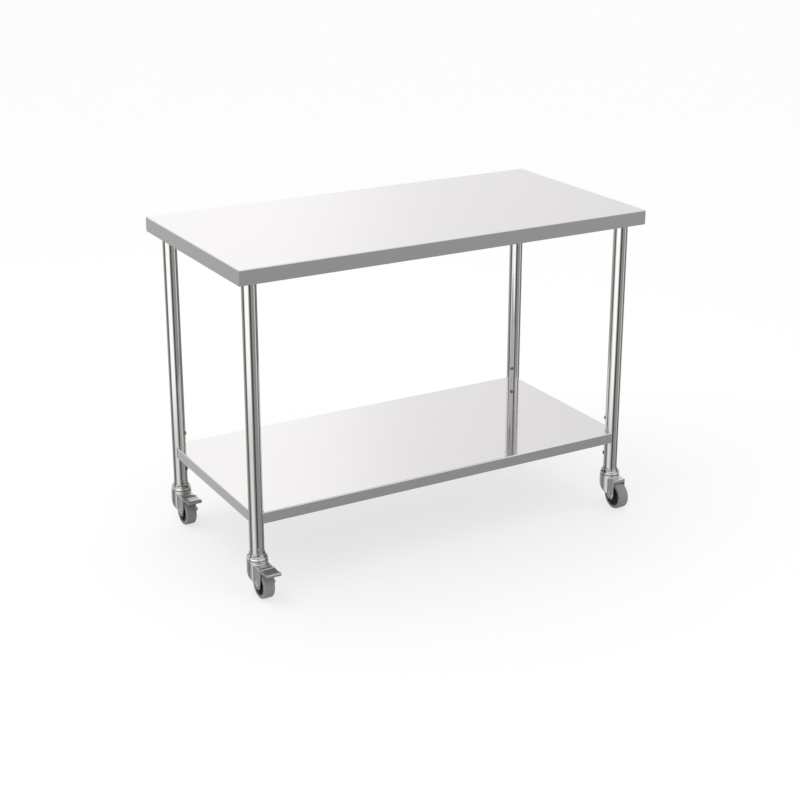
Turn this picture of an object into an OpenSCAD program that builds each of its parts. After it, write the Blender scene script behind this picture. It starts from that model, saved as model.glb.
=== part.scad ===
// Kitchen work table: a folded stainless worktop and under-shelf on four round legs,
// with four swivel casters, of which the two on the left have a toe brake.
// Millimetres. The floor is z = 0, the worktop is long in X and the front faces -Y.

/* [Table] */
// Length of the worktop
table_l = 1200; // [900:50:1800]
// Depth of the worktop, front to back
table_w = 600; // [500:50:800]
// Height of the worktop's upper face above the floor
table_h = 870; // [800:5:950]

/* [Worktop] */
// Height of the folded edge
top_skirt = 40; // [40:1:60]
// Thickness of the sheet
top_t = 1.5; // [1:0.1:2]
// Outer radius of the bend along the upper edges
top_bend_r = 3; // [2.5:0.5:6]
// Width of the lip folded inward under the edge
top_lip = 16; // [10:1:19]

/* [Channels under the worktop and the shelf] */
// Width of a hat channel between its webs
channel_w = 40; // [30:1:50]
// Depth of the channels under the worktop
channel_h = 25; // [15:1:32]
// Depth of the channel under the shelf
shelf_channel_h = 20; // [12:1:24]
// Width of each flange of a hat channel
channel_flange = 12; // [8:1:16]
// Thickness of the channels
channel_t = 1.5; // [1:0.1:2]

/* [Legs] */
// Outer diameter of a leg tube
leg_d = 38; // [34:1:40]
// Wall of a leg tube
leg_wall = 1.5; // [1.2:0.1:2]
// Distance from the worktop's end to a leg's axis
leg_inset_x = 45.5; // [45:0.5:60]
// Distance from the worktop's front or back edge to a leg's axis
leg_inset_y = 47; // [45:0.5:60]

/* [Leg sockets] */
// Wall of the cup that holds the top of a leg
socket_wall = 3; // [2:0.5:4]
// Depth of the cup
socket_depth = 33; // [25:1:34]
// Side of the square plate on the cup
socket_plate = 76; // [60:1:80]
// Thickness of that plate
socket_plate_t = 3; // [2:0.5:4]
// Diameter of the grub screw in the cup
grub_d = 8; // [5:1:10]

/* [Shelf] */
// Height of the shelf's upper face above the floor
shelf_h = 222; // [220:1:400]
// Height of the shelf's folded edge
shelf_skirt = 30; // [26:1:40]
// Thickness of the shelf sheet
shelf_t = 1.2; // [1:0.1:2]
// Outer radius of the shelf's bends
shelf_bend_r = 2.5; // [2.1:0.1:4]
// Width of the lip folded inward under the shelf's edge
shelf_lip = 12; // [8:1:16]
// How far the shelf reaches past the leg axes at its ends
shelf_reach_x = 13; // [8:0.5:18]
// How far the shelf reaches past the leg axes at front and back
shelf_reach_y = 16.5; // [8:0.5:18]

/* [Leg joints at the shelf] */
// How far the sleeve inside a leg runs past its two joint screws
sleeve_margin = 8; // [6:0.5:8]
// Wall of the sleeve
sleeve_wall = 3; // [2:0.5:4]
// Height of a joint screw above the shelf, and its depth below the shelf's edge
screw_offset = 38.5; // [30:0.5:40]
// Thread diameter of a joint screw
screw_d = 6; // [5:1:8]
// Diameter of its button head
screw_head_d = 12; // [10:1:14]
// Height of the button head
screw_head_h = 4; // [3:0.5:5]

/* [Caster head] */
// Height of a caster from the floor to the end of the leg tube
caster_h = 100; // [98:1:102]
// Diameter of the swivelling head
head_d = 55; // [54:1:60]
// Outer diameter of the cap over the swivel bearing
cap_d = 54; // [50:1:58]
// Height of the cap
cap_h = 7; // [5:0.5:8]
// Width of the cone collar at its foot
collar_d = 51; // [46:1:54]
// Height of the cone collar
collar_h = 12.5; // [8:0.5:20]
// Diameter of the king bolt
king_d = 12; // [8:1:14]
// Number of balls in the swivel bearing
ball_count = 16; // [10:1:18]
// Diameter of a ball
ball_d = 5; // [4:0.5:6]
// Radius of the circle that the balls run on
race_r = 18; // [14:0.5:19]

/* [Caster fork] */
// Distance from the leg's axis to the wheel's axle
trail = 36; // [34:0.5:38]
// Width over the fork's two side plates
fork_w = 41; // [40:0.5:44]
// Thickness of a side plate and of the shroud
fork_wall = 3.5; // [2.5:0.5:4]
// Depth of the crown between the wheel's well and the bearing
crown_t = 16; // [14:0.5:17]
// Height of the step between the head and the bridge over the wheel
bridge_step = 6.5; // [4:0.5:8]
// Radius of the side plate's rounded end at the axle
boss_r = 10; // [9:0.5:12]
// Height above the floor at which the shroud's back begins to lean in towards the axle
shroud_z = 77; // [72:1:82]
// How far the leaning back bulges beyond a straight line
shroud_bulge = 2.4; // [0:0.2:4]
// How far behind the axle the lower end of the side plates reaches
heel_reach = 18; // [15:1:20]
// How far the braked fork reaches in front of the leg's axis
braked_reach = 56; // [55:0.5:60]
// How far from the leg's axis the lower end of a braked fork's side plates reaches
braked_toe = 53; // [50:1:55]

/* [Wheel] */
// Diameter of the wheel
wheel_d = 75; // [70:1:76]
// Width of the tyre
tyre_w = 30; // [26:1:31]
// Radius that rounds the edges of the tread
tread_r = 4; // [2:0.5:6]
// Diameter of the hub under the tyre
hub_d = 57; // [50:1:60]
// Depth of the dished face of the hub below the tyre's side
hub_dish = 4; // [2:0.5:6]
// Number of ribs that stiffen each face of the hub
hub_ribs = 8; // [4:1:12]
// Diameter of the axle bolt
axle_d = 8; // [6:1:8]
// Outer diameter of the spacer that the hub turns on
spacer_d = 12; // [11:1:14]

/* [Brake] */
// Distance from the leg's axis to the pedal's pin
pin_y = 50; // [49.5:0.1:50.5]
// Height of the pedal's pin above the axle
pin_rise = 42.5; // [42:0.1:43.5]
// Diameter of the pedal's pin
pin_d = 4; // [3:0.5:4]
// How far the pedal's tip is from the leg's axis
pedal_reach = 100; // [90:1:120]
// Width of the pedal's tread plate
pedal_w = 40; // [36:1:44]
// Thickness of the tread plate
pedal_t = 3; // [2:0.5:4]
// Diameter of the rolled tip
pedal_roll_d = 10; // [7:0.5:11]
// Radius of the raised edge at the back of the tread plate
pedal_ridge_r = 1.8; // [1:0.2:2.4]
// Depth of the dish between that edge and the tip
pedal_dish = 1.6; // [0:0.2:2]
// Angle that the pedal turns through when it is pressed down
pedal_stroke = 18; // [10:1:20]
// Diameter of the return spring's wire
spring_wire = 1.2; // [0.8:0.1:1.4]
// Number of turns in the return spring
spring_turns = 3; // [2:1:4]

/* [Clearances] */
// Gap on each side of a piece that slides over another and is clamped there
slide_gap = 0.2; // [0.1:0.05:0.4]
// Radial gap of a bearing
running_gap = 0.06; // [0.03:0.01:0.1]
// Gap between a piece and its seat
seat_gap = 0.3; // [0.2:0.05:0.5]

/* [Hidden] */
$fn = 64;

// Corners of the table, and the side of it that each one is on
front_left = 0;
front_right = 1;
back_left = 2;
back_right = 3;
CORNERS = [front_left, front_right, back_left, back_right];
SIDE_X = [-1, 1, -1, 1];
SIDE_Y = [-1, -1, 1, 1];
BRAKED = [true, false, true, false];
through = 1; // how far a cut runs past the face that it opens

// Table: the pedals reach past the front edge, so the table stands back by half of that
leg_x = table_l / 2 - leg_inset_x;
leg_y = table_w / 2 - leg_inset_y;
front_reach = max(table_w / 2, leg_y + pedal_reach, leg_y + trail + wheel_d / 2);
table_y = (front_reach - table_w / 2) / 2;

// Legs and their sockets, from the top down
sheet_z = table_h - top_t;
socket_z = sheet_z - socket_plate_t;
cup_r = leg_d / 2 + slide_gap + socket_wall;
leg_bore_r = leg_d / 2 - leg_wall;
leg_top_z = socket_z - seat_gap;
grub_z = socket_z - socket_depth / 2;
shelf_low_z = shelf_h - shelf_skirt;
sleeve_r = leg_bore_r - slide_gap / 2;
sleeve_low_z = shelf_low_z - screw_offset - sleeve_margin;
sleeve_l = shelf_skirt + 2 * (screw_offset + sleeve_margin);
upper_screw_z = shelf_h + screw_offset;
lower_screw_z = shelf_low_z - screw_offset;
key_share = 0.34; // flat-to-flat radius of a hex socket as a share of the screw head's radius

// Caster, measured up from the floor and outwards from the leg's axis
head_r = head_d / 2;
axle_z = wheel_d / 2;
bearing_gap = 0.5;
cap_z = caster_h - cap_h;
fork_top_z = cap_z - bearing_gap;
race_z = cap_z - bearing_gap / 2;
groove_r = ball_d / 2 + 0.15;
bridge_z = fork_top_z - bridge_step;
well_z = fork_top_z - crown_t;
well_w = fork_w - 2 * fork_wall;
shroud_back = [head_r, shroud_z];
shroud_foot = [heel_reach + 1 - trail, axle_z + 1.5];
king_head_h = 6;
king_head_r = king_d * 0.75;
plug_h = 40;
nut_h = 8;
king_top_z = caster_h + seat_gap + plug_h + nut_h + 2;
axle_nut_h = 6.5;
axle_head_h = 3.5;
boss_w = fork_w + 2;
hub_rib_t = 2;

// Brake
pin_z = axle_z + pin_rise;
knuckle_r = 5;
neck_low_w = 16;
neck_spring_side_w = 8.5;
plate_y = braked_reach + 2;
plate_z = bridge_z - 0.5;
shoe_r = 2.5;
shoe_lean = 25;
to_axle = norm([pin_y - trail, pin_rise]);
axle_lean = atan2(pin_y - trail, pin_rise);
pressed_lean = axle_lean + shoe_lean - pedal_stroke;
shoe_arm = to_axle * cos(pressed_lean)
    - sqrt(pow(axle_z + seat_gap + shoe_r, 2) - pow(to_axle * sin(pressed_lean), 2));

// ---- shared forms -----------------------------------------------------------------------------

// Stretches a flat outline, drawn as (Y, Z), into a body of the given width across X
module along_x(width) rotate([90, 0, 90]) linear_extrude(width, center = true) children();

// Stretches a flat outline, drawn as (X, Z), into a body of the given width across Y
module along_y(width) rotate([90, 0, 0]) linear_extrude(width, center = true) children();

// Round bar or hole along X
module rod_x(r, length) rotate([0, 90, 0]) cylinder(r = r, h = length, center = true);

module tube(r, bore, height) {
    difference() {
        cylinder(r = r, h = height);
        translate([0, 0, -through]) cylinder(r = bore, h = height + 2 * through);
    }
}

module at_table() translate([0, table_y, 0]) children();

module at_leg(corner)
    at_table() translate([SIDE_X[corner] * leg_x, SIDE_Y[corner] * leg_y, 0]) children();

// Direction from a leg to the middle of the table, square across the corner
function inward(corner) = atan2(-SIDE_Y[corner], -SIDE_X[corner]);

// At a leg, with +X turned to face the middle of the table
module facing_in(corner) at_leg(corner) rotate([0, 0, inward(corner)]) children();

module at_axle(corner) at_leg(corner) translate([0, -trail, axle_z]) children();

module at_pin(corner) at_leg(corner) translate([0, -pin_y, pin_z]) children();

// Upper outline of a folded sheet: a flat top with a bend of radius r at each side
module bent_outline(width, height, r) {
    translate([-width / 2, 0]) square([width, height - r]);
    translate([-width / 2 + r, 0]) square([width - 2 * r, height]);
    for (side = [-1, 1]) translate([side * (width / 2 - r), height - r]) circle(r);
}

// Block with bent upper edges and sharp upright corners, as mitred and welded sheet has
module bent_block(length, width, height, r) {
    intersection() {
        along_x(length) bent_outline(width, height, r);
        along_y(width) bent_outline(length, height, r);
    }
}

// Sheet folded down along its four sides and in again at the foot
module folded_pan(length, width, height, t, r, lip) {
    difference() {
        bent_block(length, width, height, r);
        translate([0, 0, t]) bent_block(length - 2 * t, width - 2 * t, height - 2 * t, r - t);
        translate([lip - length / 2, lip - width / 2, -through])
            cube([length - 2 * lip, width - 2 * lip, t + 2 * through]);
    }
}

// Section of a hat channel that hangs under y = 0
module hat_section(height) {
    half = channel_w / 2;
    polygon([[-half - channel_flange, 0], [channel_t - half, 0], [channel_t - half, channel_t - height],
        [half - channel_t, channel_t - height], [half - channel_t, 0], [half + channel_flange, 0],
        [half + channel_flange, -channel_t], [half, -channel_t], [half, -height],
        [-half, -height], [-half, -channel_t], [-half - channel_flange, -channel_t]]);
}

// Domed screw with a hex socket; its head sits on z = 0 and its shank runs down from there
module button_screw(d, length, dome_d, dome_h) {
    ball_r = (pow(dome_d / 2, 2) + pow(dome_h, 2)) / (2 * dome_h);
    difference() {
        union() {
            intersection() {
                cylinder(d = dome_d, h = dome_h);
                translate([0, 0, dome_h - ball_r]) sphere(ball_r);
            }
            translate([0, 0, -length]) cylinder(d = d, h = length + through);
        }
        translate([0, 0, dome_h * 0.4])
            cylinder(r = dome_d / 2 * key_share / cos(30), h = dome_h, $fn = 6);
    }
}

// ---- worktop and what hangs from it ------------------------------------------------------------

module worktop() {
    color("gainsboro") at_table() translate([0, 0, table_h - top_skirt])
        folded_pan(table_l, table_w, top_skirt, top_t, top_bend_r, top_lip);
}

end_channel_half = channel_w / 2 + channel_flange;

module worktop_channels() {
    color("lightgray") at_table() for (side = [-1, 1])
        translate([0, side * table_w / 6, sheet_z])
            along_x(2 * (leg_x - end_channel_half - seat_gap)) hat_section(channel_h);
}

module worktop_end_channels() {
    color("lightgray") at_table() for (side = [-1, 1])
        translate([side * leg_x, 0, sheet_z])
            along_y(2 * (leg_y - socket_plate / 2 - seat_gap)) hat_section(channel_h);
}

module leg_socket(corner) {
    difference() {
        union() {
            translate([-socket_plate / 2, -socket_plate / 2, socket_z])
                cube([socket_plate, socket_plate, socket_plate_t]);
            translate([0, 0, socket_z - socket_depth]) cylinder(r = cup_r, h = socket_depth + socket_plate_t / 2);
        }
        translate([0, 0, socket_z - socket_depth - through])
            cylinder(r = leg_d / 2 + slide_gap, h = socket_depth + through);
        rotate([0, 0, inward(corner)]) translate([leg_d / 2, 0, grub_z]) rotate([0, 90, 0])
            cylinder(d = grub_d + 2 * running_gap, h = 2 * socket_wall + through);
    }
}

module leg_sockets() color("silver") for (corner = CORNERS) at_leg(corner) leg_socket(corner);

module socket_screws() {
    grub_l = socket_wall + 3;
    color("dimgray") for (corner = CORNERS) facing_in(corner)
        translate([leg_d / 2 + slide_gap / 2, 0, grub_z]) rotate([0, 90, 0])
            difference() {
                cylinder(d = grub_d, h = grub_l);
                translate([0, 0, grub_l / 2]) cylinder(r = grub_d / 4, h = grub_l, $fn = 6);
            }
}

// ---- legs and shelf ----------------------------------------------------------------------------

// Cross hole on the inner side of a leg, for a joint screw
module screw_hole(corner, z, gap) {
    rotate([0, 0, inward(corner)]) translate([0, 0, z]) rotate([0, 90, 0])
        cylinder(d = screw_d + 2 * gap, h = leg_d);
}

module leg_tube(corner, low_z, high_z, screw_z) {
    color("silver") at_leg(corner) difference() {
        translate([0, 0, low_z]) tube(leg_d / 2, leg_bore_r, high_z - low_z);
        screw_hole(corner, screw_z, slide_gap);
    }
}

module upper_leg(corner) leg_tube(corner, shelf_h, leg_top_z, upper_screw_z);

module lower_leg(corner) leg_tube(corner, caster_h, shelf_low_z, lower_screw_z);

module leg_sleeves() {
    color("darkgray") for (corner = CORNERS) at_leg(corner) difference() {
        translate([0, 0, sleeve_low_z]) tube(sleeve_r, sleeve_r - sleeve_wall, sleeve_l);
        screw_hole(corner, upper_screw_z, running_gap);
        screw_hole(corner, lower_screw_z, running_gap);
    }
}

module leg_screws() {
    shank = leg_wall + sleeve_wall + 4;
    color("dimgray") for (corner = CORNERS, z = [upper_screw_z, lower_screw_z])
        facing_in(corner) translate([leg_d / 2 + running_gap, 0, z]) rotate([0, 90, 0])
            button_screw(screw_d, shank, screw_head_d, screw_head_h);
}

// What is cut from the shelf at a corner: the leg's round and the tip outside it
module shelf_notch(corner) {
    at_leg(corner) translate([0, 0, shelf_low_z - through]) {
        cylinder(r = leg_d / 2 + seat_gap, h = shelf_skirt + 2 * through);
        scale([SIDE_X[corner], SIDE_Y[corner], 1]) cube([leg_d, leg_d, shelf_skirt + 2 * through]);
    }
}

module shelf() {
    color("whitesmoke") difference() {
        at_table() translate([0, 0, shelf_low_z])
            folded_pan(2 * (leg_x + shelf_reach_x), 2 * (leg_y + shelf_reach_y), shelf_skirt,
                shelf_t, shelf_bend_r, shelf_lip);
        for (corner = CORNERS) shelf_notch(corner);
    }
}

module shelf_rings() {
    color("silver") for (corner = CORNERS) at_leg(corner)
        translate([0, 0, shelf_low_z]) tube(leg_d / 2, leg_bore_r, shelf_skirt);
}

module shelf_channel() {
    color("lightgray") at_table() translate([0, 0, shelf_h - shelf_t])
        along_x(2 * (leg_x - leg_d)) hat_section(shelf_channel_h);
}

// ---- casters: what stays with the leg ------------------------------------------------------------

module cone_collars() {
    bore = leg_d / 2 + slide_gap;
    color("silver") for (corner = CORNERS) at_leg(corner) translate([0, 0, caster_h])
        rotate_extrude()
            polygon([[bore, 0], [collar_d / 2, 0], [collar_d / 2, 1.2], [bore + 1.4, collar_h],
                [bore, collar_h]]);
}

// Groove that the balls run in, one half in the cap and one half in the fork's crown
module race_groove() {
    translate([0, 0, race_z]) rotate_extrude() translate([race_r, 0]) circle(groove_r);
}

module swivel_caps() {
    rim_r = cap_h / 2;
    color("silver") for (corner = CORNERS) at_leg(corner) difference() {
        translate([0, 0, cap_z]) rotate_extrude() {
            translate([king_d / 2 + running_gap, 0]) square([cap_d / 2 - rim_r - king_d / 2 - running_gap, cap_h]);
            translate([cap_d / 2 - rim_r, rim_r]) circle(rim_r);
        }
        race_groove();
    }
}

module king_bolts() {
    color("gray") for (corner = CORNERS) at_leg(corner) {
        translate([0, 0, well_z - seat_gap - king_head_h]) cylinder(r = king_head_r, h = king_head_h);
        translate([0, 0, well_z - seat_gap - through])
            cylinder(d = king_d, h = king_top_z - well_z + seat_gap + through);
    }
}

module stem_plugs() {
    color("dimgray") for (corner = CORNERS) at_leg(corner)
        translate([0, 0, caster_h + seat_gap]) tube(sleeve_r, king_d / 2 + running_gap, plug_h);
}

module stem_nuts() {
    color("gray") for (corner = CORNERS) at_leg(corner)
        translate([0, 0, caster_h + seat_gap + plug_h]) hex_nut(king_d, nut_h);
}

module hex_nut(thread_d, height) {
    difference() {
        cylinder(r = thread_d * 0.92, h = height, $fn = 6);
        translate([0, 0, -through]) cylinder(d = thread_d + 2 * running_gap, h = height + 2 * through);
    }
}

// ---- casters: what swivels -----------------------------------------------------------------------

// Side view of the fork: head at the top, back of the shroud leaning in to the axle in a full curve, a
// rounded lower end, and a front edge that is upright, or leans forward to the pedal's pin
module fork_side(reach, toe) {
    chord = shroud_foot - shroud_back;
    outwards = [-chord[1], chord[0]] / norm(chord);
    polygon(concat(
        [[head_r + through, fork_top_z], [head_r + through, shroud_z]],
        [for (u = [0 : 0.1 : 1]) shroud_back + u * chord + 4 * shroud_bulge * u * (1 - u) * outwards],
        [[heel_reach - trail, axle_z], [heel_reach - boss_r - trail, axle_z - boss_r],
            [boss_r - toe, axle_z - boss_r], [-toe, axle_z], [-reach, axle_z + boss_r],
            [-reach, bridge_z], [-head_r * 0.9, bridge_z], [-head_r * 0.9, bridge_z + 1],
            [-head_r - 0.5, bridge_z + 1], [-head_r - 0.5, fork_top_z]]));
    translate([heel_reach - boss_r - trail, axle_z]) circle(boss_r);
    translate([boss_r - toe, axle_z]) circle(boss_r);
}

module fork(corner) {
    braked = BRAKED[corner];
    reach = braked ? braked_reach : trail + boss_r;
    toe = braked ? braked_toe : trail + boss_r;
    color("silver") at_leg(corner) difference() {
        union() {
            intersection() {
                union() {
                    cylinder(r = head_r, h = fork_top_z);
                    translate([-fork_w / 2, -reach, 0]) cube([fork_w, reach, bridge_z]);
                }
                along_x(head_d + 2) fork_side(reach, toe);
            }
            translate([0, -trail, axle_z]) rod_x(boss_r, boss_w);
        }
        translate([-well_w / 2, -reach - boss_r, -through])
            cube([well_w, reach + boss_r, well_z + through]);
        translate([0, 0, -through]) cylinder(r = head_r - fork_wall, h = well_z + through);
        translate([0, 0, well_z - through]) cylinder(d = king_d + 2 * running_gap, h = crown_t + 2 * through);
        race_groove();
        translate([0, -trail, axle_z]) rod_x(axle_d / 2 + running_gap, boss_w + 2);
        if (braked) pedal_room();
    }
}

// Slot between the side plates for the pedal's knuckle, and the holes for its pin
module pedal_room() {
    back_y = pin_y - knuckle_r - 1.5;
    translate([-well_w / 2, -braked_reach - through, well_z - through])
        cube([well_w, braked_reach - back_y + through, bridge_z]);
    translate([0, -pin_y, pin_z]) rod_x(pin_d / 2 + running_gap, fork_w + 2);
}

module swivel_balls(corner) {
    color("white") at_leg(corner) for (i = [0 : ball_count - 1])
        rotate([0, 0, i * 360 / ball_count]) translate([race_r, 0, race_z]) sphere(d = ball_d);
}

module axle_bolt(corner) {
    shank = boss_w + axle_nut_h + 3;
    color("white") at_axle(corner) translate([-boss_w / 2, 0, 0]) rotate([0, -90, 0])
        button_screw(axle_d, shank, axle_d * 1.75, axle_head_h);
}

module axle_nut(corner) {
    color("white") at_axle(corner) translate([boss_w / 2, 0, 0]) rotate([0, 90, 0])
        hex_nut(axle_d, axle_nut_h);
}

module axle_spacer(corner) {
    color("gray") at_axle(corner) difference() {
        rod_x(spacer_d / 2, well_w - seat_gap);
        rod_x(axle_d / 2 + running_gap, well_w + 2);
    }
}

// ---- casters: what rolls -------------------------------------------------------------------------

// Turned form about the axle, drawn as (radius, distance from the middle)
module turned_about_axle() rotate([0, 90, 0]) rotate_extrude() children();

module hub(corner) {
    rim_half = tyre_w / 2 - 1;
    dish_half = tyre_w / 2 - hub_dish;
    boss_half = well_w / 2 - 2 * seat_gap;
    bore = spacer_d / 2 + running_gap;
    boss = bore + 4.5;
    half = [[bore, boss_half], [boss, boss_half], [boss, dish_half], [hub_d / 2 - 4, dish_half],
        [hub_d / 2 - 2.5, rim_half], [hub_d / 2, rim_half]];
    color("#262626") at_axle(corner) {
        turned_about_axle()
            polygon(concat(half, [for (i = [len(half) - 1 : -1 : 0]) [half[i][0], -half[i][1]]]));
        for (i = [0 : hub_ribs - 1]) rotate([i * 360 / hub_ribs, 0, 0])
            translate([-rim_half + 0.5, -hub_rib_t / 2, boss - 1])
                cube([2 * rim_half - 1, hub_rib_t, hub_d / 2 - 3 - boss + 1]);
    }
}

module tyre(corner) {
    low = hub_d / 2 + running_gap;
    high = wheel_d / 2;
    color("#8f8f8f") at_axle(corner) turned_about_axle() {
        translate([low, -tyre_w / 2]) square([high - tread_r - low, tyre_w]);
        translate([low, tread_r - tyre_w / 2]) square([high - low, tyre_w - 2 * tread_r]);
        for (side = [-1, 1]) translate([high - tread_r, side * (tyre_w / 2 - tread_r)]) circle(tread_r);
    }
}

// ---- brakes --------------------------------------------------------------------------------------

// Side view of the shoe that bears on the tread when the pedal is down
module shoe_side() {
    rotate(-shoe_lean) {
        translate([0, -shoe_arm]) circle(shoe_r);
        translate([-shoe_r, -shoe_arm]) square([2 * shoe_r, shoe_arm]);
    }
}

// Side view of the tread: a raised back edge, a shallow dish, and the rolled tip
module tread_side(root, tip, rise) {
    steps = [0 : 0.125 : 1];
    polygon(concat(
        [for (u = steps) [-root - u * (tip - root), rise + pedal_t - pedal_dish * sin(180 * u)]],
        [for (u = steps) [-tip + u * (tip - root), rise - pedal_dish * sin(180 * u)]]));
    translate([-root - pedal_ridge_r, rise + pedal_t]) circle(pedal_ridge_r);
    translate([-tip, rise]) circle(d = pedal_roll_d);
}

module pedal(corner) {
    neck_w = neck_low_w + neck_spring_side_w;
    neck_mid = (neck_spring_side_w - neck_low_w) / 2;
    rise = plate_z - pin_z;
    root = plate_y - pin_y;
    tip = pedal_reach - pedal_roll_d / 2 - pin_y;
    color("darkgray") at_pin(corner) difference() {
        union() {
            translate([neck_mid, 0, 0]) along_x(neck_w) {
                circle(knuckle_r);
                shoe_side();
                polygon([[0, knuckle_r], [0, -knuckle_r], [-root - 4, rise - 3], [-root - 4, rise + pedal_t],
                    [-root + 3, rise + pedal_t]]);
            }
            along_x(pedal_w) tread_side(root, tip, rise);
            for (side = [-1, 1]) translate([side * (pedal_w / 2 - 1), 0, 0]) along_x(2)
                polygon([[-root, rise + 1], [-root, rise - 6], [-tip, rise - 4], [-tip, rise + 1]]);
        }
        rod_x(pin_d / 2 + running_gap, pedal_w + 2);
    }
}

module pedal_pin(corner) {
    color("white") at_pin(corner) {
        rod_x(pin_d / 2, fork_w + 2);
        for (side = [-1, 1]) translate([side * (fork_w / 2 + 0.6), 0, 0]) rod_x(pin_d * 0.8, 1);
    }
}

// Wire coiled round the pin, as one closed skin of rings; it turns about X and climbs along it
module brake_spring(corner) {
    sides = 6;
    coil_r = pin_d / 2 + 0.5 + spring_wire / 2;
    pitch = spring_wire + 0.5;
    steps = 16 * spring_turns;
    start_x = neck_spring_side_w + 0.5 + spring_wire / 2;
    rings = [for (i = [0 : steps]) let (turn = i * 360 * spring_turns / steps)
        [for (k = [0 : sides - 1]) let (a = k * 360 / sides, r = coil_r + spring_wire / 2 * cos(a))
            [start_x + pitch * turn / 360 + spring_wire / 2 * sin(a), r * cos(turn), r * sin(turn)]]];
    skin = [for (i = [0 : steps - 1], k = [0 : sides - 1]) let (n = (k + 1) % sides)
        each [[i * sides + k, (i + 1) * sides + k, (i + 1) * sides + n],
            [i * sides + k, (i + 1) * sides + n, i * sides + n]]];
    first = [for (k = [1 : sides - 2]) [0, k, k + 1]];
    last = [for (k = [1 : sides - 2]) [steps * sides, steps * sides + k + 1, steps * sides + k]];
    color("white") at_pin(corner) polyhedron(concat([for (ring = rings) each ring]), concat(skin, first, last));
}

// ---- nodes ---------------------------------------------------------------------------------------

worktop();
worktop_channels();
worktop_end_channels();
leg_sockets();
socket_screws();
upper_leg(front_left);  // upper_leg_front_left
upper_leg(front_right);  // upper_leg_front_right
upper_leg(back_left);  // upper_leg_back_left
upper_leg(back_right);  // upper_leg_back_right
lower_leg(front_left);  // lower_leg_front_left
lower_leg(front_right);  // lower_leg_front_right
lower_leg(back_left);  // lower_leg_back_left
lower_leg(back_right);  // lower_leg_back_right
leg_sleeves();
leg_screws();
shelf();
shelf_rings();
shelf_channel();
cone_collars();
swivel_caps();
king_bolts();
stem_plugs();
stem_nuts();
fork(front_left);  // fork_front_left
fork(front_right);  // fork_front_right
fork(back_left);  // fork_back_left
fork(back_right);  // fork_back_right
swivel_balls(front_left);  // swivel_balls_front_left
swivel_balls(front_right);  // swivel_balls_front_right
swivel_balls(back_left);  // swivel_balls_back_left
swivel_balls(back_right);  // swivel_balls_back_right
axle_bolt(front_left);  // axle_bolt_front_left
axle_bolt(front_right);  // axle_bolt_front_right
axle_bolt(back_left);  // axle_bolt_back_left
axle_bolt(back_right);  // axle_bolt_back_right
axle_nut(front_left);  // axle_nut_front_left
axle_nut(front_right);  // axle_nut_front_right
axle_nut(back_left);  // axle_nut_back_left
axle_nut(back_right);  // axle_nut_back_right
axle_spacer(front_left);  // axle_spacer_front_left
axle_spacer(front_right);  // axle_spacer_front_right
axle_spacer(back_left);  // axle_spacer_back_left
axle_spacer(back_right);  // axle_spacer_back_right
hub(front_left);  // hub_front_left
hub(front_right);  // hub_front_right
hub(back_left);  // hub_back_left
hub(back_right);  // hub_back_right
tyre(front_left);  // tyre_front_left
tyre(front_right);  // tyre_front_right
tyre(back_left);  // tyre_back_left
tyre(back_right);  // tyre_back_right
pedal(front_left);  // pedal_front_left
pedal(back_left);  // pedal_back_left
pedal_pin(front_left);  // pedal_pin_front_left
pedal_pin(back_left);  // pedal_pin_back_left
brake_spring(front_left);  // brake_spring_front_left
brake_spring(back_left);  // brake_spring_back_left
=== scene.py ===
"""Finish, studio and camera of a stainless kitchen work table on four swivel casters.

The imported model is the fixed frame. Everything is in metres unless a comment says millimetres: x runs
along the table, y from front to back and z up from the floor.
"""

import logging
import math
from dataclasses import dataclass
from enum import Enum
from typing import Any

import bmesh
import bpy
import numpy as np
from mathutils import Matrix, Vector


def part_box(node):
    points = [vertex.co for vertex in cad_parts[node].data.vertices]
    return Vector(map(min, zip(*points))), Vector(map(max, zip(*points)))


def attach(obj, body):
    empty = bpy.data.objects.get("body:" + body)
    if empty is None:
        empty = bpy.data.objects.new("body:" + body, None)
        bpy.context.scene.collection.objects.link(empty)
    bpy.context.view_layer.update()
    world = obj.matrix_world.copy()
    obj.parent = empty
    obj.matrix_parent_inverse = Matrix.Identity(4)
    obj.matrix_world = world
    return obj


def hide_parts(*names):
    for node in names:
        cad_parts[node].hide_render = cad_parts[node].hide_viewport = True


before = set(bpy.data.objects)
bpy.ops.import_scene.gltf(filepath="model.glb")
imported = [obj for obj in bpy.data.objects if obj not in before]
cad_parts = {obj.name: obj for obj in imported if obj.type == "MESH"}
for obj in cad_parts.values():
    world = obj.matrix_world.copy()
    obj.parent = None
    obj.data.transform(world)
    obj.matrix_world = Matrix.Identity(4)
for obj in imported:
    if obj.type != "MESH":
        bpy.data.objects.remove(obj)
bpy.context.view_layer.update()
LOG = logging.getLogger("work_table")
MM = 0.001
# Points nearer to each other than this are one point.
SAME_POINT = 1e-6
WHITE = (1.0, 1.0, 1.0, 1.0)
# The Mix node's sockets by number, because its numbers and its colours go by the same names.
MIX_FACTOR = 0
MIX_NUMBER_A = 2
MIX_NUMBER_B = 3
MIX_COLOUR_A = 6
MIX_COLOUR_B = 7
MIX_COLOUR_OUT = 2
CORNERS = ("front_left", "front_right", "back_left", "back_right")
BRAKED = ("front_left", "back_left")


# ---- nodes and colours -----------------------------------------------------------------------------


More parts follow.
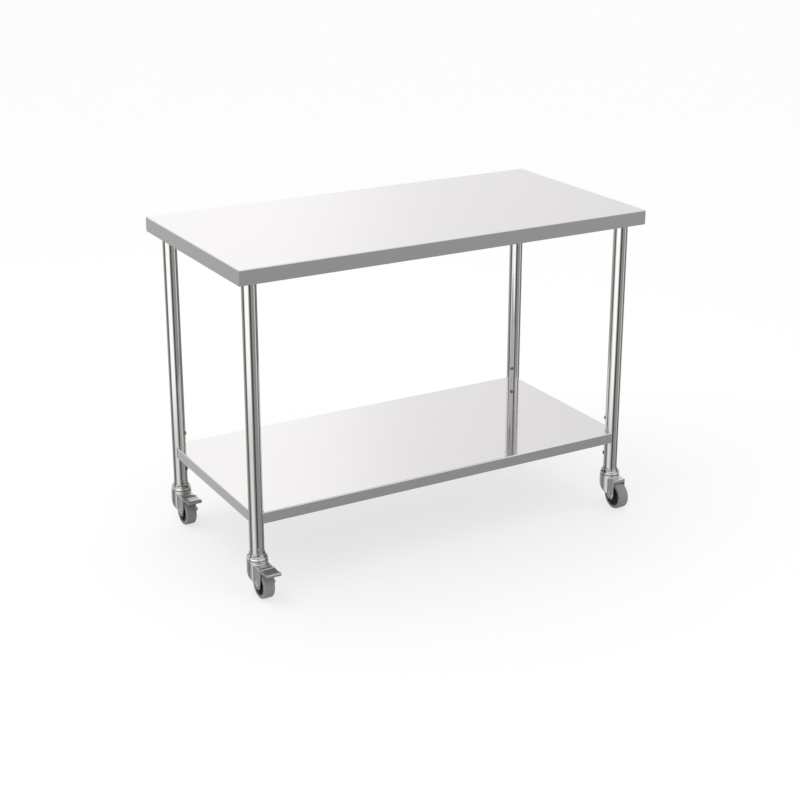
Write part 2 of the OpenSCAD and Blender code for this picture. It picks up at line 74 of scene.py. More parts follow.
def linear(colour: str) -> tuple[float, float, float, float]:
    """Turns an sRGB hex colour to linear light.

    Each channel c is ((c + 0.055) / 1.055) to the power 2.4, or c / 12.92 where it is very dark.

    Args:
        colour: Six hex digits after a hash sign.

    Returns:
        Linear red, green and blue, and an alpha of 1.
    """
    channels = [int(colour[i:i + 2], 16) / 255 for i in (1, 3, 5)]
    light = [((c + 0.055) / 1.055) ** 2.4 if c > 0.04045 else c / 12.92 for c in channels]
    return (light[0], light[1], light[2], 1.0)


def add(tree: bpy.types.NodeTree, kind: str, inputs: dict[Any, Any] | None = None,
        **settings: Any) -> bpy.types.Node:
    """Adds one node to a tree.

    Args:
        tree: The tree that takes the node.
        kind: The node's type, without the ShaderNode that all of them start with.
        inputs: Input name or number to its value, or to the socket that it is linked from.
        settings: Properties of the node.

    Returns:
        The new node.
    """
    node = tree.nodes.new("ShaderNode" + kind)
    for name, value in settings.items():
        setattr(node, name, value)
    for name, value in (inputs or {}).items():
        if isinstance(value, bpy.types.NodeSocket):
            tree.links.new(value, node.inputs[name])
        else:
            node.inputs[name].default_value = value
    return node


# ---- finishes --------------------------------------------------------------------------------------


class Lay(Enum):
    """Axis that a finish was worked along: 1 where its marks are long, 0 where they are narrow."""

    ALONG_X = (1, 0, 0)
    ALONG_Z = (0, 0, 1)
    NONE = (0, 0, 0)


@dataclass(frozen=True)
class Finish:
    """A surface finish: its colour, its gloss, and the marks that its making left.

    The marks are a noise whose grains are mark_long by mark_wide millimetres, laid along one axis, and
    mark_depth millimetres deep. They move the colour by up to shade_spread of itself to either side, and
    the roughness by up to roughness_spread, which it reaches where the noise passes its low or its high
    value.
    """

    name: str
    colour: str
    metallic: float
    roughness: float
    mark_long: float
    mark_wide: float
    mark_depth: float
    lay: Lay = Lay.NONE
    roughness_spread: float = 0.04
    shade_spread: float = 0.03
    ior: float = 1.5
    noise_detail: float = 3.0
    noise_roughness: float = 0.55
    noise_low: float = 0.25
    noise_high: float = 0.75

    def marks(self, tree: bpy.types.NodeTree) -> bpy.types.Node:
        """Adds the noise of the marks, on Object coordinates.

        Args:
            tree: The material's tree.

        Returns:
            The noise node.
        """
        here = add(tree, "TexCoord")
        sizes = [self.mark_long if share else self.mark_wide for share in self.lay.value]
        scale = [1 / (size * MM) for size in sizes]
        spread = add(tree, "Mapping", {"Vector": here.outputs["Object"], "Scale": scale})
        return add(tree, "TexNoise", {"Vector": spread.outputs[0], "Scale": 1.0,
                                      "Detail": self.noise_detail,
                                      "Roughness": self.noise_roughness})

    def material(self) -> bpy.types.Material:
        """Builds the material once, and finds it again after that.

        Returns:
            The material.
        """
        made = bpy.data.materials.get(self.name)
        if made:
            return made
        made = bpy.data.materials.new(self.name)
        made.use_nodes = True
        tree = made.node_tree
        tree.nodes.clear()
        marks = self.marks(tree).outputs["Fac"]
        base = linear(self.colour)[:3]
        dark = [c * (1 - self.shade_spread) for c in base] + [1.0]
        light = [min(1.0, c * (1 + self.shade_spread)) for c in base] + [1.0]
        shade = add(tree, "Mix", {MIX_FACTOR: marks, MIX_COLOUR_A: dark, MIX_COLOUR_B: light},
                    data_type="RGBA")
        gloss = add(tree, "MapRange", {"Value": marks, "From Min": self.noise_low,
                                       "From Max": self.noise_high,
                                       "To Min": max(0.0, self.roughness - self.roughness_spread),
                                       "To Max": self.roughness + self.roughness_spread})
        bump = add(tree, "Bump", {"Height": marks, "Distance": self.mark_depth * MM, "Strength": 1.0})
        shader = add(tree, "BsdfPrincipled", {
            "Base Color": shade.outputs[MIX_COLOUR_OUT], "Metallic": self.metallic,
            "Roughness": gloss.outputs["Result"], "IOR": self.ior,
            "Normal": bump.outputs["Normal"]})
        add(tree, "OutputMaterial", {"Surface": shader.outputs["BSDF"]})
        return made


# Stainless sheet with a No. 4 belt finish: satin, with fine lines along the belt. The real lines are
# about a tenth of a millimetre wide and would not show, so they are drawn half a millimetre wide.
SATIN_STEEL = Finish("satin_stainless_no4", "#dcdada", 1.0, 0.21, 45, 0.5, 0.0015, Lay.ALONG_X)
# Stainless sheet polished with a mop: a mirror with slow waves, which softens with distance.
MIRROR_STEEL = Finish("mirror_stainless_sheet", "#dddbdb", 1.0, 0.075, 240, 160, 0.012, Lay.ALONG_X,
                      roughness_spread=0.02, shade_spread=0.01)
# Drawn stainless tube, buffed along its length: bright, with soft upright streaks.
POLISHED_TUBE = Finish("buffed_stainless_tube", "#d8d7d5", 1.0, 0.09, 60, 1.2, 0.0006, Lay.ALONG_Z,
                       roughness_spread=0.02)
# Weld bead left as laid: bright, with a straw tint of the heat.
WELD_STEEL = Finish("stainless_weld_bead", "#cbc6bd", 1.0, 0.24, 1.5, 1.5, 0.002, shade_spread=0.06)
# Cold-rolled sheet as it comes from the mill, dull and streaky, for the folded channels.
MILL_STEEL = Finish("mill_finish_channel", "#c4c2be", 1.0, 0.38, 30, 1.5, 0.002, Lay.ALONG_X)
# Machined steel with clear zinc: a cool, faintly clouded grey.
ZINC_STEEL = Finish("zinc_plated_steel", "#c9ccce", 1.0, 0.24, 6, 6, 0.004)
# Axle bolt and nut with dull zinc, greyer and softer than the turned parts.
AXLE_ZINC = Finish("dull_zinc_axle", "#b6b7b8", 1.0, 0.34, 3, 3, 0.006)
# Chromed collar of a caster: a hard mirror, a shade darker than the steel round it.
BRIGHT_CHROME = Finish("bright_chrome", "#b2b2b0", 1.0, 0.09, 9, 9, 0.002, roughness_spread=0.02)
# Bearing cap of pressed steel, buffed and clear-lacquered: bright satin.
CAP_STEEL = Finish("buffed_cap_steel", "#e2e2e1", 1.0, 0.24, 8, 8, 0.002, roughness_spread=0.03)
# Zinc die casting, tumbled and lacquered: silver-grey with a fine pebble, which is drawn about five
# times as coarse as it is, so that it shows.
CAST_ZINC = Finish("die_cast_zinc", "#cfcfce", 1.0, 0.33, 1.4, 1.4, 0.02, roughness_spread=0.06,
                   shade_spread=0.06)
# Pressed steel pedal with dull zinc: a darker, softer grey than the casting.
PRESSED_ZINC = Finish("pressed_zinc_pedal", "#b0b0ae", 1.0, 0.30, 2.5, 2.5, 0.01,
                      roughness_spread=0.05, shade_spread=0.05)
# Spring wire with its oil-tempered skin: grey-brown, streaked along the wire.
SPRING_WIRE = Finish("spring_wire", "#8f8d88", 1.0, 0.34, 4, 0.4, 0.002, Lay.ALONG_X)
# Screws of A2 stainless, tumbled: an even, slightly dark satin.
SCREW_STEEL = Finish("stainless_screw", "#93928f", 1.0, 0.24, 2, 2, 0.003)
# Moulded polypropylene hub: black, with the faint sheen of a spark-eroded mould, whose grain is drawn
# several times as coarse as it is, so that it shows.
BLACK_PLASTIC = Finish("moulded_black_polypropylene", "#262626", 0.0, 0.46, 0.8, 0.8, 0.012,
                       roughness_spread=0.06, shade_spread=0.10, ior=1.49)
# Grey thermoplastic rubber tread, moulded: matt, a little dusty.
GREY_RUBBER = Finish("grey_rubber_tread", "#8b8b8a", 0.0, 0.66, 1.6, 1.6, 0.02,
                     roughness_spread=0.08, shade_spread=0.06, ior=1.52)


def dress(names: list[str], finish: Finish) -> None:
    """Gives CAD nodes a finish in all of their material slots.

    Args:
        names: Node names.
        finish: The finish that they take.
    """
    for name in names:
        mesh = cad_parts[name].data
        if not mesh.materials:
            mesh.materials.append(finish.material())
        for i in range(len(mesh.materials)):
            mesh.materials[i] = finish.material()
        LOG.info("%s: %s", name, finish.name)


# ---- shapes ----------------------------------------------------------------------------------------


def merge(mesh: bpy.types.Mesh) -> None:
    """Joins points that lie on each other.

    Args:
        mesh: The mesh, which is changed where it is.
    """
    work = bmesh.new()
    work.from_mesh(mesh)
    bmesh.ops.remove_doubles(work, verts=work.verts, dist=SAME_POINT)
    work.to_mesh(mesh)
    work.free()


def woven(name: str, grid: np.ndarray, ring: bool = True) -> bpy.types.Mesh:
    """Makes a closed smooth mesh from a grid of points.

    The columns always join up round the section. The rows join up too where ring is true; otherwise the
    first and last row have shrunk to a point each. Faces are turned outwards by the sign of the volume,
    which is summed over each face's two triangles: the first corner's dot product with the cross product
    of the other two.

    Args:
        name: The mesh's name.
        grid: Points in metres, as rows, columns and three coordinates.
        ring: Whether the last row joins the first.

    Returns:
        The mesh.
    """
    rows, columns = grid.shape[:2]
    here = np.arange(rows * columns).reshape(rows, columns)
    below = np.roll(here, -1, axis=0)
    quads = np.stack([here, below, np.roll(below, -1, axis=1), np.roll(here, -1, axis=1)], axis=-1)
    quads = (quads if ring else quads[:-1]).reshape(-1, 4)
    points = grid.reshape(-1, 3)
    centre = points.mean(axis=0)
    one, two, three, four = (points[quads[:, i]] - centre for i in range(4))
    volume = np.sum(one * np.cross(two, three)) + np.sum(one * np.cross(three, four))
    if volume < 0:
        quads = quads[:, ::-1]
    mesh = bpy.data.meshes.new(name)
    mesh.from_pydata(points.tolist(), [], quads.tolist())
    if not ring:
        merge(mesh)
    mesh.validate()
    mesh.shade_smooth()
    return mesh


def arc(start: float, end: float, count: int) -> np.ndarray:
    """Angles in radians, evenly spaced from a start to an end in degrees."""
    return np.radians(np.linspace(start, end, count))


def bell(way: np.ndarray, width: float) -> np.ndarray:
    """A bell curve, 1 in its middle: e to the power of minus the square of way over width."""
    return np.exp(-(way / width) ** 2)


def turned(profile: np.ndarray, centre: np.ndarray, upright: bool, turns: int = 128) -> np.ndarray:
    """Turns a closed profile about an axis.

    A profile point (r, h) at the turn a lies at r cos a and r sin a across the axis and h along it.

    Args:
        profile: Points (radius, distance along the axis) in millimetres.
        centre: Origin of the axis in metres.
        upright: Whether the axis stands along z; otherwise it lies along x.
        turns: Number of steps round the axis.

    Returns:
        The grid of points in metres.
    """
    angle = np.linspace(0, 2 * np.pi, turns, endpoint=False)[:, None]
    radius, along = profile[None, :, 0] * MM, profile[None, :, 1] * MM + 0 * angle
    one, two = radius * np.cos(angle), radius * np.sin(angle)
    parts = (one, two, along) if upright else (along, one, two)
    return np.stack(parts, axis=-1) + np.asarray(centre)


def carried(path: np.ndarray, outward: np.ndarray, radius: np.ndarray, sides: int = 14) -> np.ndarray:
    """Carries a round section along a path.

    At each point the section spans the outward direction and its cross product with the path's own
    direction.

    Args:
        path: Points of the path in metres.
        outward: A unit direction across the path at each point.
        radius: Radius of the section at each point in metres.
        sides: Points round the section.

    Returns:
        The grid of points in metres.
    """
    along = np.gradient(path, axis=0)
    along /= np.linalg.norm(along, axis=1, keepdims=True)
    across = np.cross(along, outward)
    angle = np.linspace(0, 2 * np.pi, sides, endpoint=False)[None, :, None]
    ring = outward[:, None] * np.cos(angle) + across[:, None] * np.sin(angle)
    return path[:, None] + radius[:, None, None] * ring


def tapered(way: np.ndarray, haste: float) -> np.ndarray:
    """A share that rises from 0 at both ends like a square root, to 1 after 1 / haste of the way."""
    return np.minimum(1, haste * np.minimum(way, 1 - way)) ** 0.5


def softened(node: str, grain: float, passes: int, pull: float = 0.5) -> bpy.types.Mesh:
    """Copies a CAD node's shape with its edges rounded, as a casting or a pressing has them.

    The copy is merged, cut anew into small even faces and smoothed.

    Args:
        node: The CAD node.
        grain: Size of the new faces in millimetres.
        passes: How many times the faces are smoothed.
        pull: How far each time moves a point towards the middle of its neighbours, from 0 to 1.

    Returns:
        The new mesh.
    """
    work = bpy.data.objects.new("rough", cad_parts[node].data.copy())
    bpy.context.scene.collection.objects.link(work)
    merge(work.data)
    cut = work.modifiers.new("cut", "REMESH")
    cut.mode = "VOXEL"
    cut.voxel_size = grain * MM
    soft = work.modifiers.new("soft", "SMOOTH")
    soft.factor = pull
    soft.iterations = passes
    ready = work.evaluated_get(bpy.context.evaluated_depsgraph_get())
    mesh = bpy.data.meshes.new_from_object(ready)
    bpy.data.objects.remove(work)
    mesh.materials.clear()
    mesh.shade_smooth()
    return mesh


def place(name: str, mesh: bpy.types.Mesh, body: str, slot: str, finish: Finish,
          *nodes: str) -> None:
    """Adds a finished piece to the table.

    Args:
        name: The piece's name.
        mesh: Its mesh, already where it belongs.
        body: The body that it moves with.
        slot: Not used.
        finish: The finish that it takes.
        nodes: CAD nodes that it stands for.
    """
    mesh.materials.append(finish.material())
    piece = bpy.data.objects.new(name, mesh)
    bpy.context.scene.collection.objects.link(piece)
    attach(piece, body)
    if nodes:
        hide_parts(*nodes)
    LOG.info("%s: %s, %d faces", name, finish.name, len(mesh.polygons))


def middle(node: str) -> np.ndarray:
    """Middle of a CAD node's box, in metres."""
    low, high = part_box(node)
    return (np.array(low) + np.array(high)) / 2


# ---- sub-assemblies --------------------------------------------------------------------------------


@dataclass
class TableTop:
    """Folded worktop with the channels and leg sockets under it."""

    sheet: Finish = SATIN_STEEL

    def build(self) -> None:
        """Dresses the sheet and what is fixed under it."""
        dress(["worktop"], self.sheet)
        dress(["worktop_channels", "worktop_end_channels"], MILL_STEEL)
        dress(["leg_sockets"], ZINC_STEEL)
        dress(["socket_screws"], SCREW_STEEL)


@dataclass
class LegsAndShelf:
    """Four legs with the mirror-polished shelf between them.

    The weld's sizes are in millimetres and its angles in degrees. bead is the weld's radius, ripple the
    share by which it swells at each drop, and step the distance from drop to drop.
    """

    tube: Finish = POLISHED_TUBE
    bead: float = 0.9
    ripple: float = 0.16
    weld_r: float = 19.1
    weld_from: float = 120.0
    weld_to: float = 313.0
    weld_step: float = 1.5
    weld_points: int = 240
    weld_taper: float = 14.0

    def build(self) -> None:
        """Dresses the legs, their screws, and the shelf with its channel, and makes the welds."""
        tubes = [f"{part}_leg_{corner}" for part in ("upper", "lower") for corner in CORNERS]
        dress(tubes, self.tube)
        dress(["shelf_rings"], self.tube)
        dress(["leg_sleeves", "leg_screws"], SCREW_STEEL)
        dress(["shelf"], MIRROR_STEEL)
        dress(["shelf_channel"], MILL_STEEL)
        for corner in CORNERS:
            self.build_weld(corner)

    def build_weld(self, corner: str) -> None:
        """A small rippled bead where the shelf's notch is welded round the leg.

        The path is the arc of the notch on the shelf's upper face, and the bead's radius swells and
        shrinks once for each drop, with the sine of the way along. It thins out to a point at each end.

        Args:
            corner: The leg's corner.
        """
        leg = middle(f"lower_leg_{corner}")
        side = np.sign(leg[:2] - middle("shelf")[:2])
        top = float(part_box("shelf")[1][2])
        turn = arc(self.weld_from, self.weld_to, self.weld_points)
        out = np.stack([np.cos(turn) * side[0], np.sin(turn) * side[1], 0 * turn], axis=1)
        length = self.weld_r * MM * (turn[-1] - turn[0])
        drops = round(length / (self.weld_step * MM))
        way = np.linspace(0, 1, turn.size)
        swell = 1 + self.ripple * np.sin(2 * np.pi * way * drops)
        radius = self.bead * MM * swell * tapered(way, self.weld_taper)
        path = np.array([leg[0], leg[1], top]) + self.weld_r * MM * out
        mesh = woven(f"shelf_weld_{corner}", carried(path, out, radius), ring=False)
        place(f"shelf_weld_{corner}", mesh, "table", "polished_tube", WELD_STEEL)


@dataclass
class Casters:
    """Four swivel casters, two of them with a toe brake.

    Sizes are in millimetres and angles in degrees. A name with _r is a radius, and one with _points is
    the number of points in that stretch of a profile or path.
    """

    braked: tuple[str, ...] = BRAKED
    fork_grain: float = 0.65
    fork_passes: int = 5
    pedal_grain: float = 0.45
    pedal_passes: int = 4

    tyre_w: float = 30.0
    wheel_r: float = 37.5
    tyre_bore_r: float = 28.56
    tyre_turns: int = 160
    tread_points: int = 73
    wall_points: int = 24
    shoulder_r: float = 4.0
    crown: float = 0.35
    mould_line_h: float = 0.12
    mould_line_w: float = 0.5
    groove_in: float = 2.2
    groove_w: float = 0.45
    groove_depth: float = 0.5

    cap_r: float = 27.0
    cap_h: float = 7.0
    rim_points: int = 49
    rim_groove_at: float = 42.0
    rim_groove_w: float = 5.0
    rim_groove_depth: float = 0.28
    king_r: float = 6.06
    race_r: float = 18.0
    race_ball_r: float = 2.65
    race_from: float = 175.0
    race_to: float = 5.0
    race_points: int = 15
    race_drop: float = 0.25

    leg_r: float = 19.2
    collar_r: float = 25.5
    collar_h: float = 12.5
    collar_edge: float = 0.9
    collar_flare: float = 1.9
    lip_r: float = 0.85
    lip_gap: float = 0.4
    lip_to: float = -50.0
    lip_points: int = 15
    flank_points: int = 24

    spring_turns: float = 3.0
    spring_wire: float = 1.2
    spring_points: int = 150
    spring_sides: int = 12
    spring_taper: float = 60.0

    def build(self) -> None:
        """Makes the rounded parts of all casters and dresses the others."""
        self.build_caps()
        self.build_collars()
        dress(["king_bolts", "stem_nuts"], ZINC_STEEL)
        dress(["stem_plugs"], BLACK_PLASTIC)
        for corner in CORNERS:
            fork = softened(f"fork_{corner}", self.fork_grain, self.fork_passes)
            place(f"cast_fork_{corner}", fork, f"swivel_{corner}", "die_cast", CAST_ZINC,
                  f"fork_{corner}")
            dress([f"swivel_balls_{corner}", f"axle_spacer_{corner}"], ZINC_STEEL)
            dress([f"axle_bolt_{corner}", f"axle_nut_{corner}"], AXLE_ZINC)
            dress([f"hub_{corner}"], BLACK_PLASTIC)
            self.build_tyre(corner)
        for corner in self.braked:
            pedal = softened(f"pedal_{corner}", self.pedal_grain, self.pedal_passes)
            place(f"toe_pedal_{corner}", pedal, f"brake_{corner}", "pressed_pedal", PRESSED_ZINC,
                  f"pedal_{corner}")
            dress([f"pedal_pin_{corner}"], ZINC_STEEL)
            self.build_spring(corner)

    def foot(self, corner: str, height: float) -> np.ndarray:
        """Point on a leg's axis at a height above the floor in millimetres."""
        axis = middle(f"lower_leg_{corner}")
        return np.array([axis[0], axis[1], height * MM])

    def build_caps(self) -> None:
        """The bearing caps: a full round rim with a fine groove above and below its widest line.

        The rim is a half circle whose radius dips by a bell curve of the angle at each groove. The ball
        race is an arc cut into the underside.
        """
        half = self.cap_h / 2
        turn = arc(-90, 90, self.rim_points)
        dip = sum(bell(np.degrees(turn) - at, self.rim_groove_w)
                  for at in (-self.rim_groove_at, self.rim_groove_at))
        reach = half - self.rim_groove_depth * dip
        rim = np.stack([self.cap_r - half + reach * np.cos(turn), half + reach * np.sin(turn)], axis=1)
        groove = arc(self.race_from, self.race_to, self.race_points)
        race = np.stack([self.race_r + self.race_ball_r * np.cos(groove),
                         self.race_ball_r * np.sin(groove) - self.race_drop], axis=1)
        bore = np.array([[self.king_r, self.cap_h], [self.king_r, 0.0]])
        profile = np.concatenate([bore, race, rim])
        for corner in CORNERS:
            low = float(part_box("swivel_caps")[0][2]) / MM
            mesh = woven(f"bearing_cap_{corner}", turned(profile, self.foot(corner, low), True))
            place(f"bearing_cap_{corner}", mesh, "table", "bright_cap", CAP_STEEL, "swivel_caps")

    def build_collars(self) -> None:
        """The flares that close the leg's foot on the cap, each with a rolled lip round the leg.

        From the lip down the radius grows by a power of the way down, so the flank leaves the leg almost
        upright and spreads like a trumpet, to a low upright edge. The lip is an arc, from its top to a
        little below its widest line.
        """
        turn = arc(90, self.lip_to, self.lip_points)
        roll = np.stack([self.leg_r + self.lip_gap + self.lip_r * np.cos(turn),
                         self.collar_h - self.lip_r + self.lip_r * np.sin(turn)], axis=1)
        inner, top = roll[-1]
        way = np.linspace(0, 1, self.flank_points)[1:]
        flank = np.stack([inner + (self.collar_r - inner) * way ** self.collar_flare,
                          top + (self.collar_edge - top) * way], axis=1)
        foot = np.array([[self.collar_r, 0.0], [self.leg_r, 0.0], [self.leg_r, self.collar_h]])
        profile = np.concatenate([roll, flank, foot])[::-1]
        for corner in CORNERS:
            low = float(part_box("cone_collars")[0][2]) / MM
            mesh = woven(f"foot_cone_{corner}", turned(profile, self.foot(corner, low), True))
            place(f"foot_cone_{corner}", mesh, "table", "bright_cap", BRIGHT_CHROME, "cone_collars")

    def build_tyre(self, corner: str) -> None:
        """A tyre with a barely crowned tread, round shoulders and a fine mould line round its middle.

        Across the tread the radius falls with the square of the distance from the middle, and over the
        last few millimetres by a quarter circle. A narrow bell curve raises the mould line to the full
        radius, and another one, down the side, makes a groove.

        Args:
            corner: The caster's corner.
        """
        half, round_r = self.tyre_w / 2, self.shoulder_r
        across = half * np.sin(arc(-90, 90, self.tread_points))
        over = np.maximum(0, np.abs(across) - (half - round_r)) / round_r
        crowned = self.wheel_r - self.crown * (across / half) ** 2
        tread = crowned - round_r * (1 - np.sqrt(1 - over ** 2))
        tread += -self.mould_line_h + self.mould_line_h * bell(across, self.mould_line_w)
        down = np.linspace(tread[-1], self.tyre_bore_r, self.wall_points)[1:]
        side = half - self.groove_depth * bell(down - self.tyre_bore_r - self.groove_in, self.groove_w)
        profile = np.concatenate([np.stack([tread, across], axis=1), np.stack([down, side], axis=1),
                                  np.stack([down, -side], axis=1)[::-1]])
        grid = turned(profile, middle(f"tyre_{corner}"), False, self.tyre_turns)
        mesh = woven(f"moulded_tyre_{corner}", grid)
        place(f"moulded_tyre_{corner}", mesh, f"wheel_{corner}", "grey_rubber", GREY_RUBBER,
              f"tyre_{corner}")

    def build_spring(self, corner: str) -> None:
        """The brake's return spring: a helix of wire along x that thins out to a point at each end.

        Args:
            corner: The caster's corner.
        """
        low, high = (np.array(end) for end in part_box(f"brake_spring_{corner}"))
        wire = self.spring_wire * MM / 2
        coil = (high[2] - low[2]) / 2 - wire
        way = np.linspace(0, 1, self.spring_points)
        turn = 2 * np.pi * self.spring_turns * way
        out = np.stack([0 * turn, np.cos(turn), np.sin(turn)], axis=1)
        path = (low + high) / 2 + coil * out
        path[:, 0] = low[0] + wire + (high[0] - low[0] - 2 * wire) * way
        radius = wire * tapered(way, self.spring_taper)
        grid = carried(path, out, radius, self.spring_sides)
        mesh = woven(f"return_spring_{corner}", grid, ring=False)
        place(f"return_spring_{corner}", mesh, f"swivel_{corner}", "spring_wire", SPRING_WIRE,
              f"brake_spring_{corner}")


# ---- studio and camera -----------------------------------------------------------------------------


@dataclass(frozen=True)
class Panel:
    """A soft-edged patch of the studio, as the table sees it.

    Angles are in degrees. Bearing 0 is straight behind the table and 90 off its right end. low and high
    are above the horizon, edge is the width of the two upright borders and level_edge that of the upper
    and lower one, and light is how bright the patch is beside plain white.
    """

    bearing: float
    half_width: float
    low: float
    high: float
    light: float
    edge: float = 6.0
    level_edge: float = 6.0


@dataclass
class Studio:
    """White floor and a pale room whose wide panels draw the stripes on the polished steel.

    floor_lift is the share of pure white in what the camera sees of the floor, and shade how much of it
    the soft oval of painted shade takes away: a darker white painted round the table's middle, for the
    shadow under it. The oval fades from shade_from to 1, on x and y times shade_scale. The room's light
    goes from low_room to sky between two heights in degrees.
    """

    floor_half: float = 14.0
    floor_colour: str = "#f4f4f3"
    floor_lift: float = 0.72
    # Painted shade: how much darker the floor's white is in the middle of the oval.
    shade: float = 0.024
    shade_from: float = 0.50
    shade_scale: tuple[float, float, float] = (0.92, 0.98, 0.0)
    sky: float = 1.20
    low_room: float = 0.355
    horizon_low: float = -12.0
    horizon_high: float = 6.0
    room_tint: tuple[float, float, float, float] = (1.0, 0.998, 0.994, 1.0)
    lamp_size: tuple[float, float] = (2.4, 1.6)
    lamp_place: tuple[float, float, float] = (-1.2, 0.2, 3.4)
    lamp_tilt: float = -20.0
    lamp_watts: float = 28.0
    panels: tuple[Panel, ...] = (
        # All round and mostly below the horizon: what the legs and the skirts mirror.
        Panel(bearing=246.5, half_width=32, low=-21.5, high=4, light=1.45, edge=14, level_edge=4),
        Panel(bearing=246, half_width=24, low=-36, high=-21.5, light=1.00, edge=26, level_edge=4),
        Panel(bearing=123, half_width=8, low=-21.5, high=4, light=0.88, edge=8),
        Panel(bearing=101, half_width=6, low=-60, high=2, light=0.05),
        Panel(bearing=190, half_width=11, low=-60, high=2, light=0.08),
        Panel(bearing=298, half_width=7, low=-60, high=2, light=0.04),
        Panel(bearing=350, half_width=16, low=-40, high=2, light=0.57, edge=10),
        Panel(bearing=72, half_width=16, low=-60, high=2, light=0.22, edge=8),
        # Behind and above the horizon: what the worktop and the shelf mirror.
        Panel(bearing=-20, half_width=36, low=5, high=50, light=1.05, edge=12, level_edge=12),
        Panel(bearing=19, half_width=10, low=5, high=50, light=1.23, edge=8, level_edge=12),
        Panel(bearing=72, half_width=44, low=5, high=50, light=1.05, edge=8, level_edge=12),
        Panel(bearing=86, half_width=52, low=5, high=50, light=0.94, edge=14, level_edge=12),
        # In front, at the ends and above the horizon: what the legs mirror as the shelf shows them.
        Panel(bearing=205, half_width=56, low=19, high=42, light=0.50, edge=24, level_edge=8),
        Panel(bearing=246.5, half_width=32, low=4, high=34, light=0.80, edge=14, level_edge=4),
        Panel(bearing=190, half_width=11, low=2, high=34, light=0.08, level_edge=4),
        Panel(bearing=298, half_width=9, low=2, high=34, light=0.05, level_edge=4),
        Panel(bearing=123, half_width=8, low=4, high=30, light=0.60, edge=8, level_edge=4),
        Panel(bearing=101, half_width=8, low=2, high=34, light=0.06, level_edge=4),
    )

    def build(self) -> None:
        """Makes the floor, the room and the lamp."""
        self.build_floor()
        self.build_room()
        self.build_lamp()

    def build_floor(self) -> None:
        """A flat square at z = 0, white to the camera beyond a wide soft oval of painted shade.

        The oval's painted shade darkens the white that the camera sees, and fades with the distance from
        the middle, as smooth as a cubic step. From below the floor can't be seen, so the table's
        underside shows, and the steel doesn't mirror it.
        """
        half = self.floor_half
        corners = [(-half, -half, 0), (half, -half, 0), (half, half, 0), (-half, half, 0)]
        mesh = bpy.data.meshes.new("studio_floor")
        mesh.from_pydata(corners, [], [(0, 1, 2, 3)])
        floor = bpy.data.objects.new("studio_floor", mesh)
        bpy.context.scene.collection.objects.link(floor)
        made = bpy.data.materials.new("matt_white_floor")
        made.use_nodes = True
        tree = made.node_tree
        tree.nodes.clear()
        rays = add(tree, "LightPath")
        matt = add(tree, "BsdfDiffuse", {"Color": linear(self.floor_colour)})
        spot = add(tree, "TexCoord")
        oval = add(tree, "Mapping", {"Vector": spot.outputs["Object"], "Scale": self.shade_scale})
        away = add(tree, "VectorMath", {0: oval.outputs[0]}, operation="LENGTH")
        # Painted shade: a soft oval that darkens the floor's white round the table's middle, in place of
        # its shadow.
        shade = add(tree, "MapRange", {"Value": away.outputs["Value"], "From Min": self.shade_from,
                                       "From Max": 1.0, "To Min": 1.0 - self.shade, "To Max": 1.0},
                    interpolation_type="SMOOTHSTEP")
        white = add(tree, "Emission", {"Color": WHITE, "Strength": shade.outputs["Result"]})
        lifted = add(tree, "Math", {0: rays.outputs["Is Camera Ray"], 1: self.floor_lift},
                     operation="MULTIPLY")
        seen = add(tree, "MixShader", {0: lifted.outputs[0], 1: matt.outputs[0],
                                       2: white.outputs[0]})
        clear = add(tree, "BsdfTransparent")
        both = add(tree, "Math", {0: rays.outputs["Is Glossy Ray"],
                                  1: rays.outputs["Is Transmission Ray"]}, operation="MAXIMUM")
        above = add(tree, "MixShader", {0: both.outputs[0], 1: seen.outputs[0],
                                        2: clear.outputs[0]})
        side = add(tree, "NewGeometry")
        out = add(tree, "MixShader", {0: side.outputs["Backfacing"], 1: above.outputs[0],
                                      2: clear.outputs[0]})
        add(tree, "OutputMaterial", {"Surface": out.outputs[0]})
        mesh.materials.append(made)

    def mask(self, tree: bpy.types.NodeTree, bearing: bpy.types.NodeSocket,
             height: bpy.types.NodeSocket, panel: Panel) -> bpy.types.NodeSocket:
        """How much of a panel covers a direction, from 0 to 1.

        The bearing's distance from the panel's middle is the arc cosine of the cosine of their
        difference, so it wraps round. Each border is a smooth step.

        Args:
            tree: The world's tree.
            bearing: Bearing of the ray in radians.
            height: Angle of the ray above the horizon in radians.
            panel: The panel.

        Returns:
            The socket that holds the cover.
        """
        edge, fade = math.radians(panel.edge), math.radians(panel.level_edge)
        half = math.radians(panel.half_width)
        low, high = math.radians(panel.low), math.radians(panel.high)
        offset = add(tree, "Math", {0: bearing, 1: math.radians(panel.bearing)},
                     operation="SUBTRACT")
        turn = add(tree, "Math", {0: offset.outputs[0]}, operation="COSINE")
        away = add(tree, "Math", {0: turn.outputs[0]}, operation="ARCCOSINE")
        across = add(tree, "MapRange", {"Value": away.outputs[0], "From Min": half - edge / 2,
                                        "From Max": half + edge / 2, "To Min": 1.0, "To Max": 0.0},
                     interpolation_type="SMOOTHSTEP")
        above = add(tree, "MapRange", {"Value": height, "From Min": low - fade / 2,
                                       "From Max": low + fade / 2}, interpolation_type="SMOOTHSTEP")
        below = add(tree, "MapRange", {"Value": height, "From Min": high - fade / 2,
                                       "From Max": high + fade / 2, "To Min": 1.0, "To Max": 0.0},
                    interpolation_type="SMOOTHSTEP")
        upright = add(tree, "Math", {0: above.outputs[0], 1: below.outputs[0]},
                      operation="MULTIPLY")
        cover = add(tree, "Math", {0: across.outputs[0], 1: upright.outputs[0]},
                    operation="MULTIPLY")
        return cover.outputs[0]

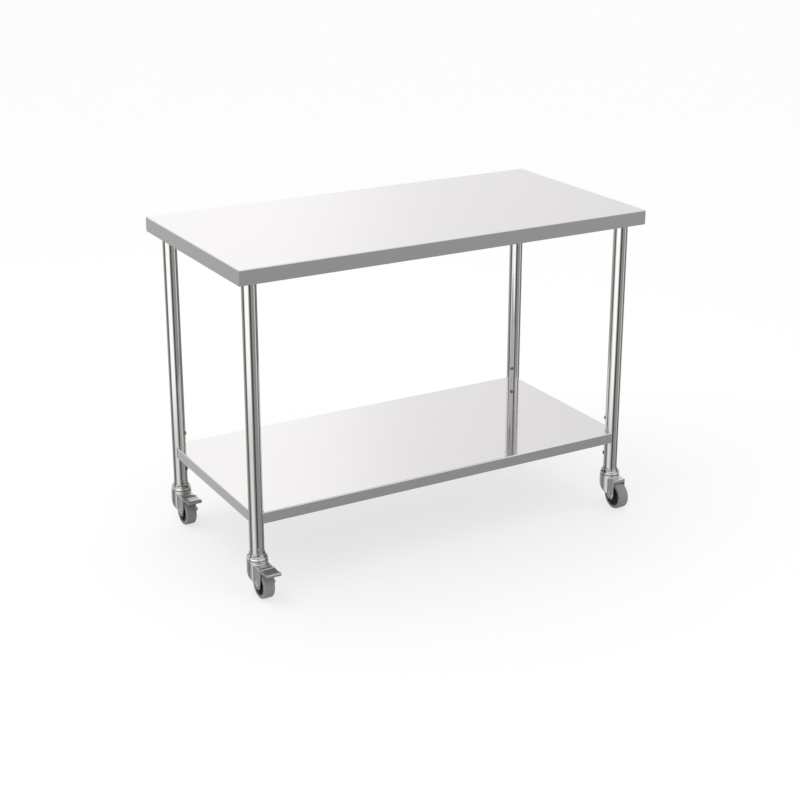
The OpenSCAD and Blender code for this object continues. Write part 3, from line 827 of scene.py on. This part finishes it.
    def build_room(self) -> None:
        """The world: white to the camera, and to everything else the room with its panels.

        A ray's bearing is the arc tangent of its x over its y, and its height the arc sine of its z.
        """
        world = bpy.data.worlds.new("studio_room")
        bpy.context.scene.world = world
        world.use_nodes = True
        tree = world.node_tree
        tree.nodes.clear()
        ray = add(tree, "TexCoord")
        parts = add(tree, "SeparateXYZ", {0: ray.outputs["Generated"]})
        bearing = add(tree, "Math", {0: parts.outputs["X"], 1: parts.outputs["Y"]},
                      operation="ARCTAN2")
        height = add(tree, "Math", {0: parts.outputs["Z"]}, operation="ARCSINE")
        level = add(tree, "MapRange", {"Value": height.outputs[0],
                                       "From Min": math.radians(self.horizon_low),
                                       "From Max": math.radians(self.horizon_high),
                                       "To Min": self.low_room, "To Max": self.sky},
                    interpolation_type="SMOOTHSTEP")
        light = level.outputs["Result"]
        for panel in self.panels:
            cover = self.mask(tree, bearing.outputs[0], height.outputs[0], panel)
            mixed = add(tree, "Mix", {MIX_FACTOR: cover, MIX_NUMBER_A: light,
                                      MIX_NUMBER_B: panel.light}, data_type="FLOAT")
            light = mixed.outputs[0]
        room = add(tree, "Background", {"Color": self.room_tint, "Strength": light})
        white = add(tree, "Background", {"Color": WHITE, "Strength": 1.0})
        rays = add(tree, "LightPath")
        out = add(tree, "MixShader", {0: rays.outputs["Is Camera Ray"], 1: room.outputs[0],
                                      2: white.outputs[0]})
        add(tree, "OutputWorld", {"Surface": out.outputs[0]})

    def build_lamp(self) -> None:
        """A wide soft box above and to the left of the table, tilted towards its middle."""
        lamp = bpy.data.lights.new("soft_box", "AREA")
        lamp.shape = "RECTANGLE"
        lamp.size, lamp.size_y = self.lamp_size
        lamp.energy = self.lamp_watts
        box = bpy.data.objects.new("soft_box", lamp)
        box.location = self.lamp_place
        box.rotation_euler = (0.0, math.radians(self.lamp_tilt), 0.0)
        bpy.context.scene.collection.objects.link(box)


@dataclass
class Viewpoint:
    """The photograph's camera: a short telephoto from the table's front left, above the worktop.

    pitch is how far it looks down, and turn how far left of straight back, in degrees. The focal length
    is that of a picture image_px pixels wide, and shift moves the frame up by that share of its width.
    """

    place: tuple[float, float, float] = (-2.0467, -3.5759, 1.8961)
    pitch: float = 18.622
    turn: float = -29.687
    focal_px: float = 1587.9
    image_px: float = 800.0
    shift: float = -0.07
    sensor_mm: float = 36.0
    reach: float = 100.0

    def build(self) -> None:
        """Makes the camera and gives it to the scene."""
        data = bpy.data.cameras.new("photo_camera")
        data.sensor_width = self.sensor_mm
        data.lens = self.focal_px / self.image_px * self.sensor_mm
        data.shift_y = self.shift
        data.clip_end = self.reach
        camera = bpy.data.objects.new("photo_camera", data)
        camera.location = self.place
        camera.rotation_euler = (math.radians(90 - self.pitch), 0.0, math.radians(self.turn))
        bpy.context.scene.collection.objects.link(camera)
        bpy.context.scene.camera = camera


def main() -> None:
    """Builds the sub-assemblies, the studio and the camera, and logs each one as it is built."""
    logging.basicConfig(level=logging.INFO, format="%(name)s %(message)s")
    bpy.context.scene.view_settings.view_transform = "Standard"
    for part in (TableTop(), LegsAndShelf(), Casters(), Studio(), Viewpoint()):
        part.build()
        LOG.info("built %s", type(part).__name__)


if __name__ == "__main__":
    main()
